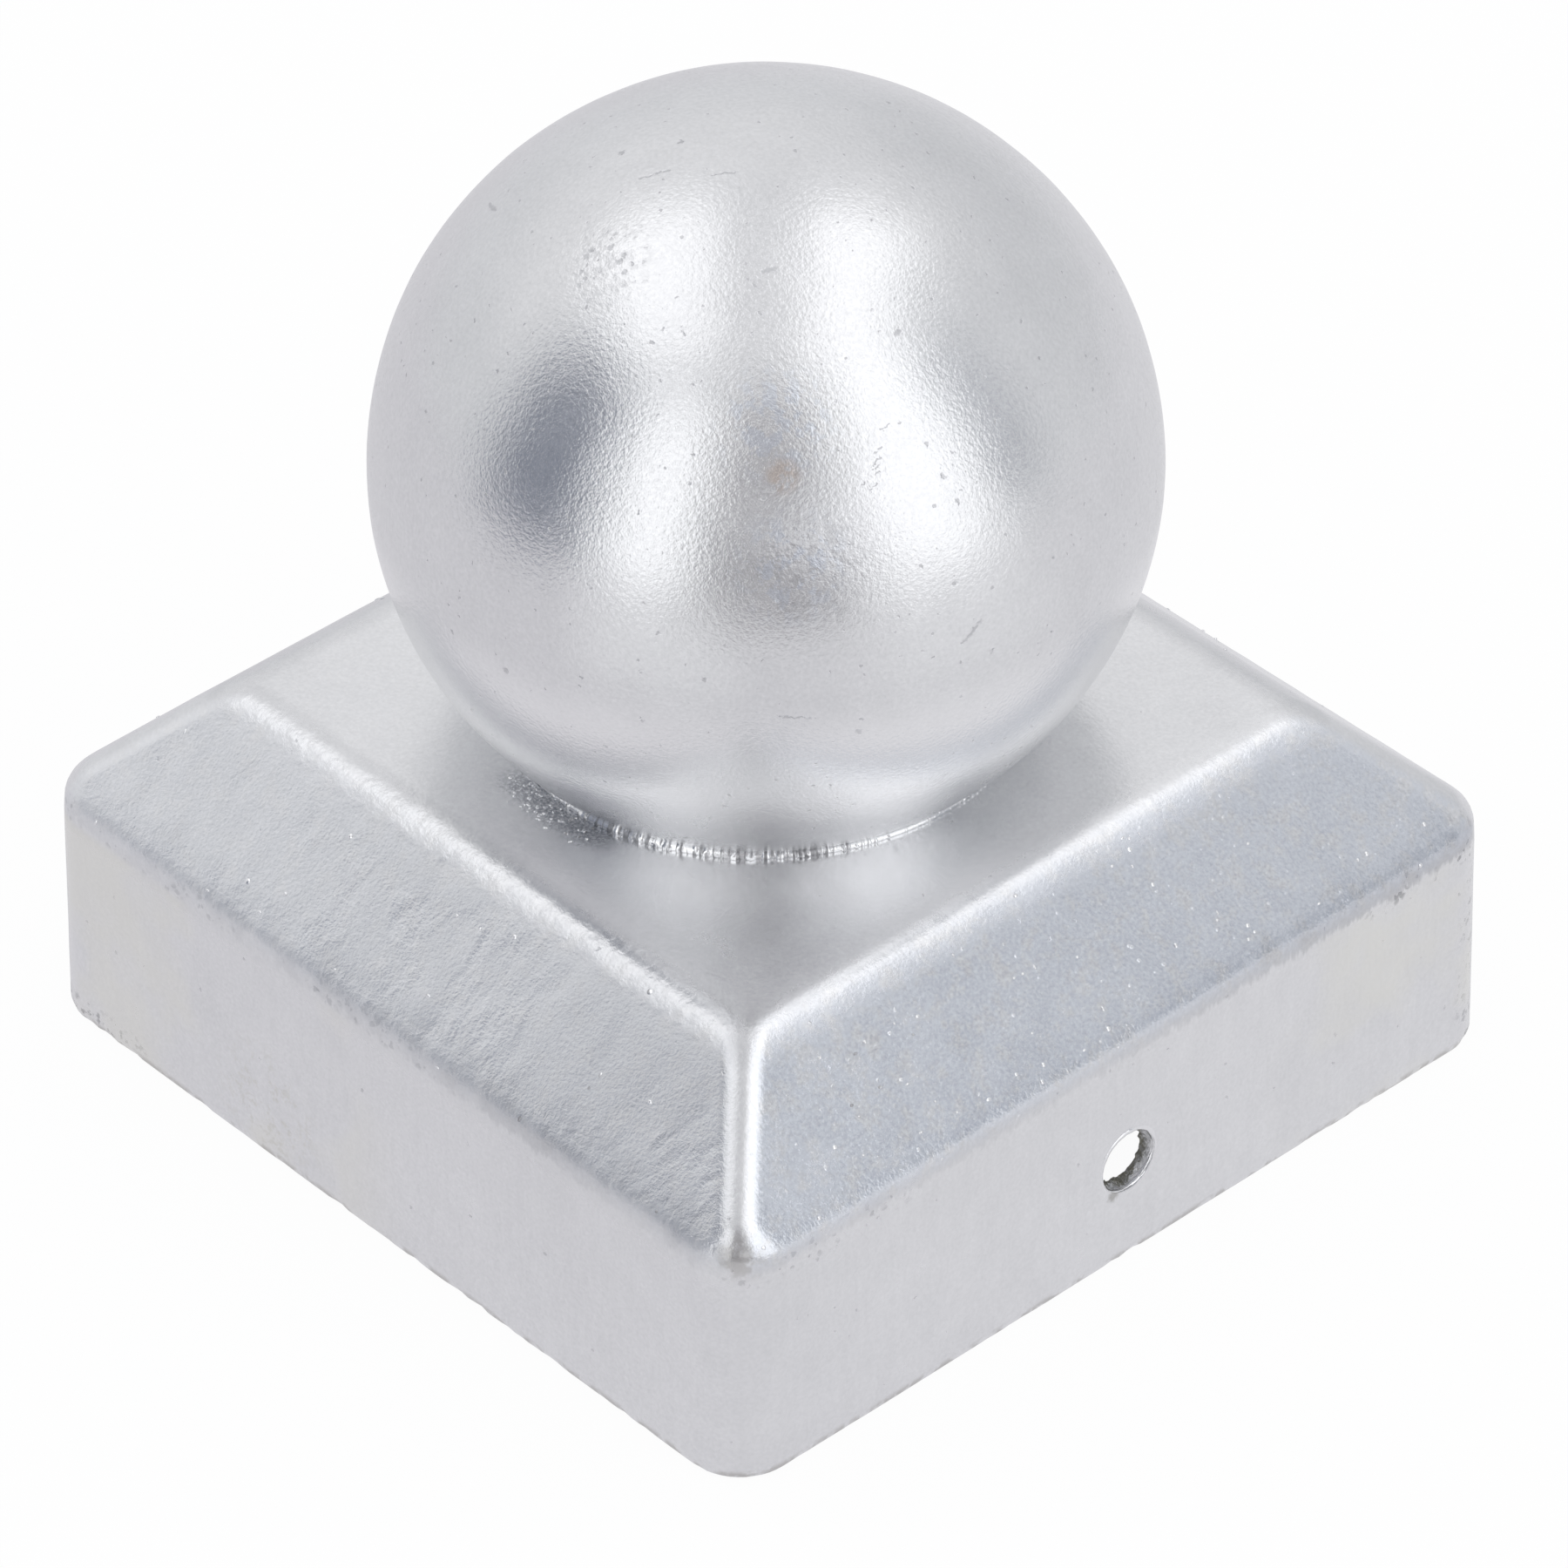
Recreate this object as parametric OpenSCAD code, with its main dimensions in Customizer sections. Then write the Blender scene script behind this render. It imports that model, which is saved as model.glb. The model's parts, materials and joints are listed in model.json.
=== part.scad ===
// Square fence post cap with a ball finial, hot-dip galvanised sheet steel.
// Millimetres. The origin is the middle of the open rim, +Z is up through the ball,
// and the two screw holes face +X and -X.

/* [Post and sheet] */
// Width of the square post that the cap covers
post_w = 70; // [50:1:120]
// Play between the post and the inside of the skirt, both sides together
post_play = 1; // [0.5:0.1:3]
// Thickness of the sheet that the cap is pressed from
sheet_t = 1.5; // [1:0.1:2]

/* [Pressed cap] */
// Height of the sharp corner that the skirt and the sloped band would make without their bend
skirt_h = 19.3; // [16:0.1:40]
// Level width of the sloped band, from the skirt to the sharp edge of the top panel
slope_run = 9.6; // [8:0.1:12]
// Height of the sloped band, from that skirt corner up to the top panel
slope_rise = 9.5; // [7:0.1:12]
// Distance by which each skirt face leans out from its bend down to the rim, the draft of the press tool
skirt_flare = 0.3; // [0.1:0.1:0.6]
// Outer radius of the skirt's upright corners
corner_r = 4.5; // [4.2:0.1:8]
// Outer radius of the top panel's corners, seen from above
panel_corner_r = 2.6; // [2.6:0.1:6]
// Outer radius of the bend between the skirt and the sloped band
shoulder_r = 3.6; // [2.4:0.1:4]
// Outer radius of the bend between the sloped band and the top panel
panel_bend_r = 2.5; // [2.2:0.1:3]

/* [Holes] */
// Diameter of the screw holes in the skirt
screw_hole_d = 4.8; // [3.5:0.1:6.5]
// Height of the screw holes' axis above the rim
screw_hole_z = 8.5; // [5:0.1:12]
// Diameter of the vent hole in the panel, under the ball, through which zinc drains
vent_d = 10; // [6:0.5:20]

/* [Ball] */
// Outer diameter of the ball
ball_d = 55.4; // [52:0.2:60]
// Thickness of the ball's sheet
ball_t = 1.2; // [0.8:0.1:2]
// Height of the ball's centre above the top panel
ball_lift = 20.1; // [18:0.1:23]

/* [Welds] */
// Width of the weld that joins the ball's two halves
seam_w = 1.6; // [1:0.1:3]
// Depth to which that weld stands proud inside the ball
seam_root = 0.4; // [0.2:0.1:0.8]
// Width of the foot weld along the panel
foot_weld_leg = 1.2; // [0.8:0.1:2]

/* [Hidden] */

ZINC = "#C9CBD1";
BRIGHT_ZINC = "#D6D8DC";
WELD_ZINC = "#B9BBC1";

// Steps of a full turn on the pressed cap's corners and bends, and on the turned pieces
BEND_STEPS = 32;
TURN_STEPS = 128;
// Distance by which a cutting shape runs past the face that it cuts
CUT_PAST = 1;

// The pressed cap
cap_w = post_w + post_play + 2 * sheet_t;
panel_z = skirt_h + slope_rise;
slope_angle = atan2(slope_rise, slope_run);
// Height of the centre of the bend between skirt and slope
shoulder_z = skirt_h - shoulder_r * tan((90 - slope_angle) / 2);
// Half the width of the skirt at a height
function skirt_half_w(z) = cap_w / 2 + skirt_flare * (1 - z / shoulder_z);
// Half the width of the square that the upper bend's outermost line makes
panel_half_w = cap_w / 2 - slope_run - panel_bend_r * tan(slope_angle / 2) + panel_bend_r;

// The ball
ball_r = ball_d / 2;
ball_z = panel_z + ball_lift;
// Radius of the circle where the ball's outer face meets the panel
foot_r = sqrt(ball_r * ball_r - ball_lift * ball_lift);
// Angle of the wedge between the panel and the ball at that circle
foot_angle = acos(ball_lift / ball_r);
// The weld bead is round in section, and its circle passes through the root of that wedge
bead_r = foot_weld_leg / (2 * cos(foot_angle / 2));

// A round disc whose edge is rounded, as one corner of a bend
module round_edged_disc(plan_r, edge_r)
    rotate_extrude($fn = BEND_STEPS)
        difference() {
            translate([plan_r - edge_r, 0])
                circle(r = edge_r, $fn = BEND_STEPS);
            translate([-2 * edge_r, -edge_r])
                square([2 * edge_r, 2 * edge_r]);
        }

// Places its children at the four corners of a centred square of the given half width
module at_corners(half_w)
    for (side_x = [-1, 1], side_y = [-1, 1])
        translate([side_x * half_w, side_y * half_w, 0])
            children();

// The cap's outer form, or with an inset the room inside it, from rim_z upwards
module cap_form(inset, rim_z)
    hull() {
        // Of each cone only the foot counts: its point lies inside the form
        at_corners(skirt_half_w(rim_z) - corner_r)
            translate([0, 0, rim_z])
                cylinder(h = corner_r, r1 = corner_r - inset, r2 = 0, $fn = BEND_STEPS);
        at_corners(cap_w / 2 - corner_r)
            translate([0, 0, shoulder_z])
                round_edged_disc(corner_r - inset, shoulder_r - inset);
        at_corners(panel_half_w - panel_corner_r)
            translate([0, 0, panel_z - panel_bend_r])
                round_edged_disc(panel_corner_r - inset, panel_bend_r - inset);
    }

// Pressed square cap: skirt, sloped band and top panel in one sheet
module post_cap_shell()
    color(ZINC)
        difference() {
            cap_form(0, 0);
            cap_form(sheet_t, -CUT_PAST);
            // Screw holes in the two skirt faces across X
            for (side = [0, 180])
                rotate([0, 0, side])
                    translate([skirt_half_w(screw_hole_z) - sheet_t - CUT_PAST, 0, screw_hole_z])
                        rotate([0, 90, 0])
                            cylinder(h = sheet_t + 2 * CUT_PAST, d = screw_hole_d, $fn = TURN_STEPS);
            // Vent hole under the ball
            translate([0, 0, panel_z - sheet_t - CUT_PAST])
                cylinder(h = sheet_t + 2 * CUT_PAST, d = vent_d, $fn = TURN_STEPS);
        }

// A turned ring between two spheres about the ball's centre, from low_z to high_z above that centre
module ball_zone(outer_r, inner_r, low_z, high_z)
    translate([0, 0, ball_z])
        rotate_extrude($fn = TURN_STEPS)
            intersection() {
                difference() {
                    circle(r = outer_r, $fn = TURN_STEPS);
                    circle(r = inner_r, $fn = TURN_STEPS);
                }
                translate([0, low_z])
                    square([outer_r + CUT_PAST, high_z - low_z]);
            }

// Lower half of the ball, open at its foot, where it stands on the panel
module ball_lower_half()
    color(BRIGHT_ZINC)
        ball_zone(ball_r, ball_r - ball_t, -ball_lift, -seam_w / 2);

// Upper half of the ball, a closed dome
module ball_upper_half()
    color(BRIGHT_ZINC)
        ball_zone(ball_r, ball_r - ball_t, seam_w / 2, ball_r + CUT_PAST);

// Weld between the two halves, ground flush outside
module ball_seam_weld()
    color(WELD_ZINC)
        ball_zone(ball_r, ball_r - ball_t - seam_root, -seam_w / 2, seam_w / 2);

// Weld bead in the wedge between the ball's foot and the panel
module foot_weld_bead()
    color(WELD_ZINC)
        translate([0, 0, panel_z])
            rotate_extrude($fn = TURN_STEPS)
                difference() {
                    intersection() {
                        translate([foot_r + bead_r * cos(foot_angle / 2), bead_r * sin(foot_angle / 2)])
                            circle(r = bead_r, $fn = TURN_STEPS);
                        translate([foot_r - CUT_PAST, 0])
                            square([foot_weld_leg + 2 * bead_r + CUT_PAST, 2 * bead_r + CUT_PAST]);
                    }
                    translate([0, ball_lift])
                        circle(r = ball_r, $fn = TURN_STEPS);
                }

post_cap_shell();
ball_lower_half();
ball_upper_half();
ball_seam_weld();
foot_weld_bead();
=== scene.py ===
# %% [markdown]
# # A galvanised fence post cap with a ball
# The real cap is one sheet of steel pressed into a square lid, with a hollow steel ball welded on top, and
# the whole thing is then dipped in molten zinc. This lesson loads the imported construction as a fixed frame
# and builds the visible skin round it: the zinc's slow waves and drips as geometry, its grain and marks as
# a shader.

# %% Load the frame
import json
from functools import partialmethod
from math import asin, atan2, cos, pi, radians, sin, sqrt, tan

import bpy
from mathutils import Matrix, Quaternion, Vector


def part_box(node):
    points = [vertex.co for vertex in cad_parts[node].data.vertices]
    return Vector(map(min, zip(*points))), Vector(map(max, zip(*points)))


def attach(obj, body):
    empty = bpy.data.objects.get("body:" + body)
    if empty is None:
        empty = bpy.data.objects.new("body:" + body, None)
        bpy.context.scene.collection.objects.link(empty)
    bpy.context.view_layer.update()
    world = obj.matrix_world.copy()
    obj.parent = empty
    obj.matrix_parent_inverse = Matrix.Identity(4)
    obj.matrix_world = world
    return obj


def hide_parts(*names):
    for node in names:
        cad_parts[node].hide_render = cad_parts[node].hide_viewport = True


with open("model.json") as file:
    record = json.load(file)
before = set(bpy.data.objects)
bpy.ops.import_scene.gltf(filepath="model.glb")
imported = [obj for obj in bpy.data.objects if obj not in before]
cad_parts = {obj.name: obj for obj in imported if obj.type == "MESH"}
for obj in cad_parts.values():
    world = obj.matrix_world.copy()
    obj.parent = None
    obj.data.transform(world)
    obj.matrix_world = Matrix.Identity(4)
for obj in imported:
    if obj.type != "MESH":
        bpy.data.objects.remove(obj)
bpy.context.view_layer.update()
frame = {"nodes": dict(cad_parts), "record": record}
MM = 0.001
print("CAD nodes:", sorted(frame["nodes"]))

# %% [markdown]
# ## Sizes
# What the frame can tell is read from it: the box of each node gives the cap's width, the panel's height
# and the ball's radius, and the record's mounts give the screw holes. The bends aren't in any box, so their
# values are repeated here as the press tool would have them.

# %% Sizes of the pressing and the ball
_, cap_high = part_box("post_cap_shell")
seam_low, seam_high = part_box("ball_seam_weld")
RIM_HALF = cap_high.x
SKIRT_FLARE = 0.3 * MM
CAP_HALF = RIM_HALF - SKIRT_FLARE
PANEL_Z = cap_high.z
BALL_R = seam_high.x
BALL_Z = (seam_low.z + seam_high.z) / 2
SEAM_HALF = (seam_high.z - seam_low.z) / 2
FOOT_DEPTH = PANEL_Z - BALL_Z
FOOT_R = sqrt(BALL_R ** 2 - FOOT_DEPTH ** 2)

SHEET_T = 1.5 * MM
BALL_SHEET_T = 1.2 * MM
SEAM_ROOT = 0.4 * MM
SKIRT_H = 19.3 * MM
SLOPE_RUN = 9.6 * MM
CORNER_R = 4.5 * MM
HIP_R = 2.2 * MM
VENT_R = 5 * MM
SHOULDER_R = 3.6 * MM
# Outside, the bends at the skirt's top and at the panel's edge are made in two steps each
SKIRT_TOP_R = 1.5 * MM
SLOPE_FOOT_R = 3.0 * MM
SHOULDER_STEP = 0.5 * MM
PANEL_BEND_R = 2.0 * MM
SLOPE_BEND_R = 5.0 * MM
PANEL_BEND_TURN = radians(25)
SLOPE_BEND_DOWN = 1.1 * MM

screw_holes = [mount for mount in frame["record"]["mounts"] if mount["kind"] == "bore"]
HOLE_R = screw_holes[0]["dims"]["r_mm"] * MM
HOLE_Z = screw_holes[0]["pos_m"][2]
print("cap half width", CAP_HALF, "panel at", PANEL_Z, "ball radius", BALL_R, "foot radius", FOOT_R)

# %% [markdown]
# ## Camera
# A long lens looks down on one corner of the cap, as in a shop photograph. The angles and the distance were
# fitted to the straight edges of the cap and the outline of the ball, so the same corners land on the same
# places.

# %% Camera
CAMERA_AZIMUTH = radians(47.44)
CAMERA_ELEVATION = radians(37.82)
CAMERA_ROLL = radians(-0.21)
CAMERA_DISTANCE = 0.6432
CAMERA_AIM = Vector((4.16, -2.23, 24.2)) * MM
CAMERA_LENS = 209.4
CAMERA_SENSOR = 36
CAMERA_CLIP = 0.05


def direction(azimuth, elevation):
    """Unit vector from the object towards an azimuth, 0 for -Y and 90 degrees for +X, and an elevation."""
    return Vector((sin(azimuth) * cos(elevation), -cos(azimuth) * cos(elevation), sin(elevation)))


def add_object(name, data):
    """A new object in the scene."""
    made = bpy.data.objects.new(name, data)
    bpy.context.scene.collection.objects.link(made)
    return made


towards_camera = direction(CAMERA_AZIMUTH, CAMERA_ELEVATION)
camera = add_object("camera", bpy.data.cameras.new("camera"))
camera.data.lens = CAMERA_LENS
camera.data.sensor_width = CAMERA_SENSOR
camera.data.clip_start = CAMERA_CLIP
camera.rotation_mode = "QUATERNION"
camera.rotation_quaternion = towards_camera.to_track_quat("Z", "Y") @ Quaternion((0, 0, 1), CAMERA_ROLL)
camera.location = CAMERA_AIM + CAMERA_DISTANCE * towards_camera
bpy.context.scene.camera = camera
bpy.context.scene.view_settings.view_transform = "Standard"
print("camera at", [round(value, 4) for value in camera.location])

# %% [markdown]
# ## Node maths
# Shaders and geometry trees are both graphs of nodes. A small class wraps one output socket, so that a
# formula can be written as Python arithmetic, and one method adds any other node from its type, sockets and
# settings.

# %% A wire in a node tree
SINGLE_VALUED = ("LENGTH", "DISTANCE", "DOT_PRODUCT")


class Wire:
    """One output socket of a node tree. Arithmetic on wires adds Math nodes to that tree."""

    def __init__(self, socket):
        self.socket = socket
        self.tree = socket.node.id_data

    @staticmethod
    def node(tree, kind, sockets=None, out=0, **settings):
        """Adds a node of a type, sets its settings and then its sockets, and returns one output."""
        made = tree.nodes.new(kind)
        for name, value in settings.items():
            setattr(made, name, value)
        for key, value in (sockets or {}).items():
            for one in value if isinstance(value, list) else [value]:
                if isinstance(one, Wire):
                    tree.links.new(one.socket, made.inputs[key])
                else:
                    made.inputs[key].default_value = one
        return Wire(made.outputs[out])

    def other(self, out):
        """Another output of the same node."""
        return Wire(self.socket.node.outputs[out])

    def math(self, operation, value=0.0):
        """A Math node on this value and another."""
        return Wire.node(self.tree, "ShaderNodeMath", {0: self, 1: value}, operation=operation)

    def reflected(self, operation, value):
        """A Math node on another value and this one."""
        return Wire.node(self.tree, "ShaderNodeMath", {0: value, 1: self}, operation=operation)

    __add__ = partialmethod(math, "ADD")
    __radd__ = partialmethod(reflected, "ADD")
    __sub__ = partialmethod(math, "SUBTRACT")
    __rsub__ = partialmethod(reflected, "SUBTRACT")
    __mul__ = partialmethod(math, "MULTIPLY")
    __rmul__ = partialmethod(reflected, "MULTIPLY")
    __truediv__ = partialmethod(math, "DIVIDE")
    __rtruediv__ = partialmethod(reflected, "DIVIDE")
    __neg__ = partialmethod(math, "MULTIPLY", -1.0)
    largest = partialmethod(math, "MAXIMUM")
    smallest = partialmethod(math, "MINIMUM")
    size = partialmethod(math, "ABSOLUTE")

    def ramp(self, low, high, start=0.0, end=1.0):
        """Smooth step from start at low to end at high. Low may be above high."""
        if low > high:
            low, high, start, end = high, low, end, start
        sockets = {"Value": self, "From Min": low, "From Max": high, "To Min": start, "To Max": end}
        return Wire.node(self.tree, "ShaderNodeMapRange", sockets, interpolation_type="SMOOTHSTEP")

    def window(self, low, full_from, full_to, high):
        """0 up to low, 1 between the two full values, and 0 again from high."""
        return self.ramp(low, full_from) * self.ramp(high, full_to)

    def within(self, outer, inner):
        """For an angle: 1 up to inner degrees from zero, falling to 0 at outer degrees."""
        return self.size().ramp(radians(outer), radians(inner))

    def parts(self):
        """The X, Y and Z of a vector."""
        split = Wire.node(self.tree, "ShaderNodeSeparateXYZ", {0: self})
        return split, split.other(1), split.other(2)

    def vector(self, operation, value=None):
        """A Vector Math node on this vector and another."""
        sockets = {0: self}
        if value is not None:
            sockets["Scale" if operation == "SCALE" else 1] = value
        out = "Value" if operation in SINGLE_VALUED else 0
        return Wire.node(self.tree, "ShaderNodeVectorMath", sockets, out, operation=operation)

    def in_mm(self):
        """This place in millimetres."""
        return self.vector("SCALE", 1 / MM)

    def turned_back(self, angle):
        """This vector turned back by an angle about the upright axis."""
        sockets = {"Vector": self, "Angle": -angle}
        return Wire.node(self.tree, "ShaderNodeVectorRotate", sockets, rotation_type="Z_AXIS")

    def noise(self, scale, detail=2.0, roughness=0.5):
        """Noise at this place, from 0 to 1 about 0.5."""
        sockets = {"Vector": self, "Scale": scale, "Detail": detail, "Roughness": roughness}
        return Wire.node(self.tree, "ShaderNodeTexNoise", sockets)

    def wobble(self, *texture):
        """The same noise about 0."""
        return self.noise(*texture) - 0.5


print("wires ready")


# %% Vectors, colours and outputs
def joined(*values):
    """A vector of three values, at least one of them a wire."""
    tree = next(value.tree for value in values if isinstance(value, Wire))
    return Wire.node(tree, "ShaderNodeCombineXYZ", dict(enumerate(values)))


def mixed(mask, first, second):
    """First colour where the mask is 0, second where it is 1."""
    return Wire.node(mask.tree, "ShaderNodeMix", {0: mask, 6: first, 7: second}, 2, data_type="RGBA")


def emptied(owner):
    """The node tree of a material or a world, with nothing in it."""
    owner.use_nodes = True
    owner.node_tree.nodes.clear()
    return owner.node_tree


def close_tree(kind, name, wire):
    """Adds the output node of a wire's tree and plugs the wire into it."""
    last = wire.tree.nodes.new(kind)
    wire.tree.links.new(wire.socket, last.inputs[name])


print("vectors, colours and outputs ready")

# %% [markdown]
# ## Studio
# Bare zinc has hardly any colour of its own: what it shows is the room. The photograph was taken in a pale
# room with four softboxes, two upright ones in front and two level strips overhead, and the ball mirrors
# them all. Each softbox is an area lamp, which metal reflects but the camera doesn't see. The room is the
# world's own light: brighter on the wall behind, darker straight ahead, where the camera stands, and in
# gaps on the left and the right. A pale patch and a darker one break up what stands ahead.

# %% Softboxes
LAMP_DISTANCE = 1.2
LAMP_CENTRE = Vector((0, 0, BALL_Z))
# Each upright softbox: degrees right of the camera and up, degrees wide and high as it looks, brightness
UPRIGHT_SOFTBOXES = {
    "front_left": (-33.3, 19.5, 23.3, 59, 0.62),
    "front_right": (48, 20, 36.5, 64, 0.62),
}
# Each overhead strip, as shares of its height above the ball: right of it, towards the camera, half its
# width and half its length, and its brightness
OVERHEAD_STRIPS = {
    "overhead_left": (-0.53, -0.07, 0.335, 0.51, 0.54),
    "overhead_right": (0.43, 0.04, 0.265, 0.55, 0.60),
}


def add_softbox(name, place, turn, wide, high, brightness):
    lamp = bpy.data.lights.new(name, "AREA")
    lamp.shape = "RECTANGLE"
    lamp.size = wide
    lamp.size_y = high
    lamp.energy = brightness * pi * wide * high
    stand = add_object(name, lamp)
    stand.rotation_mode = "QUATERNION"
    stand.rotation_quaternion = turn
    stand.location = LAMP_CENTRE + LAMP_DISTANCE * place
    stand.visible_camera = False
    print(name, "watts", round(lamp.energy, 2))


def seen_width(degrees):
    """Width of something that looks so many degrees wide at the lamps' distance."""
    return 2 * LAMP_DISTANCE * tan(radians(degrees) / 2)


for softbox, (to_right, up, wide, high, brightness) in UPRIGHT_SOFTBOXES.items():
    towards = direction(CAMERA_AZIMUTH + radians(to_right), radians(up))
    turn = towards.to_track_quat("Z", "Y")
    add_softbox(softbox, towards, turn, seen_width(wide), seen_width(high), brightness)
rightward = direction(CAMERA_AZIMUTH + pi / 2, 0)
frontward = direction(CAMERA_AZIMUTH, 0)
level_turn = Quaternion((0, 0, 1), CAMERA_AZIMUTH)
for softbox, (to_right, ahead, half_wide, half_long, brightness) in OVERHEAD_STRIPS.items():
    place = rightward * to_right + frontward * ahead + Vector((0, 0, 1))
    wide, long = 2 * half_wide * LAMP_DISTANCE, 2 * half_long * LAMP_DISTANCE
    add_softbox(softbox, place, level_turn, wide, long, brightness)

# %% The room
WHITE = (1, 1, 1, 1)
ROOM = (0.79, 0.795, 0.815, 1)
CEILING = (0.80, 0.80, 0.82, 1)
# Upward parts of a direction between which the walls turn into the ceiling
CEILING_EDGE = (0.75, 0.95)
# Each patch: colour, degrees right of the camera and up, half its width and height, softness of its edge
ROOM_PATCHES = [
    ((0.90, 0.90, 0.915, 1), -170, 39, 74, 20, 14),
    ((0.735, 0.74, 0.76, 1), 140, 8, 28, 24, 16),
    ((0.33, 0.355, 0.41, 1), 78.5, 24, 4.5, 22, 10),
    ((0.275, 0.295, 0.35, 1), -70, 9, 16, 32, 8),
    ((0.44, 0.43, 0.445, 1), 1, 12, 12.5, 44, 8),
    ((0.42, 0.41, 0.43, 1), 18, -2, 10, 4, 6),
    ((0.30, 0.30, 0.315, 1), -6.5, 10, 4.5, 7, 5),
    ((0.95, 0.95, 0.98, 1), 17, 14.5, 17.5, 7, 4),
]


def patch_mask(towards, right, up, half_wide, half_high, soft):
    """1 inside a patch of the room and 0 outside it, with a soft edge."""
    x, y, z = towards.turned_back(CAMERA_AZIMUTH + radians(right)).parts()
    across = x.math("ARCTAN2", -y).within(half_wide + soft / 2, half_wide - soft / 2)
    above = z.math("ARCSINE") - radians(up)
    return across * above.within(half_high + soft / 2, half_high - soft / 2)


bpy.context.scene.world = bpy.data.worlds.new("studio_room")
room_tree = emptied(bpy.context.scene.world)
looking = Wire.node(room_tree, "ShaderNodeTexCoord", out="Generated")
room_colour = mixed(looking.parts()[2].ramp(*CEILING_EDGE), ROOM, CEILING)
for patch_colour, *patch in ROOM_PATCHES:
    room_colour = mixed(patch_mask(looking, *patch), room_colour, patch_colour)
room_colour = mixed(Wire.node(room_tree, "ShaderNodeLightPath", out="Is Camera Ray"), room_colour, WHITE)
room_light = Wire.node(room_tree, "ShaderNodeBackground", {"Color": room_colour, "Strength": 1.0})
close_tree("ShaderNodeOutputWorld", "Surface", room_light)
print("room with", len(ROOM_PATCHES), "patches")

# %% [markdown]
# The floor is a plain pale sheet. To the camera, and to metal that mirrors it, most of it is an even white
# glow, and the rest is ordinary matt paint, which keeps the cap's soft shadow. In the metal its glow has
# painted light and shade: a little brighter on the right, painted pools of light in front of the two
# upright softboxes, and painted shade at the edge of the table, where the camera stands.

# %% The floor
FLOOR_HALF = 0.6
FLOOR_DROP = 0.05 * MM
FLOOR_GLOW_SHARE = 0.95
FLOOR_PAINT = (0.9, 0.9, 0.91, 1)
FLOOR_LEFT = (0.76, 0.75, 0.78, 1)
FLOOR_RIGHT = (0.82, 0.815, 0.84, 1)
FLOOR_LIT = (0.91, 0.91, 0.93, 1)
# Painted shade in the floor's glow at the table's edge, where the camera stands
TABLE_EDGE = (0.36, 0.355, 0.365, 1)
# Millimetres between which the left turns into the right, and the lit places and the table's edge set in
LEFT_TO_RIGHT = (-50, 50)
LIT_FROM = (60, 120)
TABLE_EDGE_FROM = (250, 420)
TABLE_EDGE_HALF = (190, 110)
# Each lit place: degrees right of the camera, and the half widths at which it ends and is full
LIT_PLACES = [(-27, 28, 10), (50, 33.6, 12)]
floor_paint = bpy.data.materials.new("pale_floor")
floor_tree = emptied(floor_paint)
rays = Wire.node(floor_tree, "ShaderNodeLightPath", out="Is Camera Ray")
mirrored_rays = rays.other("Is Glossy Ray").largest(rays.other("Is Transmission Ray"))
floor_place = Wire.node(floor_tree, "ShaderNodeTexCoord", out="Object").in_mm()
to_right, away, _ = floor_place.turned_back(CAMERA_AZIMUTH).parts()
mirrored_colour = mixed(to_right.ramp(*LEFT_TO_RIGHT), FLOOR_LEFT, FLOOR_RIGHT)
floor_turn = to_right.math("ARCTAN2", -away)
lit_from = joined(to_right, away, 0.0).vector("LENGTH").ramp(*LIT_FROM)
for lit_right, outer, inner in LIT_PLACES:
    lit = (floor_turn - radians(lit_right)).within(outer, inner) * lit_from
    mirrored_colour = mixed(lit, mirrored_colour, FLOOR_LIT)
at_table_edge = (-away).ramp(*TABLE_EDGE_FROM) * to_right.size().ramp(*TABLE_EDGE_HALF)
mirrored_colour = mixed(at_table_edge, mirrored_colour, TABLE_EDGE)
glow_colour = mixed(rays, mirrored_colour, WHITE)
glow = Wire.node(floor_tree, "ShaderNodeEmission", {"Color": glow_colour, "Strength": 1.0})
matt = Wire.node(floor_tree, "ShaderNodeBsdfDiffuse", {"Color": FLOOR_PAINT})
glow_share = rays.largest(mirrored_rays) * FLOOR_GLOW_SHARE
floor_shade = Wire.node(floor_tree, "ShaderNodeMixShader", {0: glow_share, 1: matt, 2: glow})
close_tree("ShaderNodeOutputMaterial", "Surface", floor_shade)

floor_mesh = bpy.data.meshes.new("floor")
corner_signs = ((-1, -1), (1, -1), (1, 1), (-1, 1))
floor_corners = [(x * FLOOR_HALF, y * FLOOR_HALF, -FLOOR_DROP) for x, y in corner_signs]
floor_mesh.from_pydata(floor_corners, [], [(0, 1, 2, 3)])
floor_mesh.materials.append(floor_paint)
floor = add_object("floor", floor_mesh)
print("floor", 2 * FLOOR_HALF, "m wide")

# %% [markdown]
# ## Zinc
# Hot-dipped zinc is bare metal with a skin like orange peel: lumps a third of a millimetre wide, a finer
# grain in them, clouds where it cooled more slowly, and pinholes. All of it is worked out from the place on
# the piece in millimetres, so the grain has the same scale on the ball, the cap and the welds.

# %% The common skin of the zinc
ZINC_DARK = (0.42, 0.425, 0.44, 1)
ZINC_PALE = (0.85, 0.855, 0.865, 1)
# Colour of painted light: the ball's lower half, the highlight round the ball's foot and glints on grains
PAINTED_LIGHT_ZINC = (0.97, 0.97, 0.975, 1)
BLUE_ZINC = (0.66, 0.71, 0.80, 1)
# Noises of the plain zinc: scale per millimetre, detail and roughness
CLOUDS = (0.08, 3)
PATCHES = (0.35, 3)
PEEL = (3.5, 3, 0.62)
GRAIN = (6.5, 2, 0.6)
SPECKS = (3.3, 3, 0.6)
# Noise that makes outlines uneven, and the share of a mark's reach that is at full strength
UNEVEN = (3.0, 2)
FULL_SHARE = 0.3


def open_zinc(name):
    """A new material, and the wire of the place on its piece in millimetres."""
    material = bpy.data.materials.new(name)
    return material, Wire.node(emptied(material), "ShaderNodeTexCoord", out="Object").in_mm()


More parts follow.
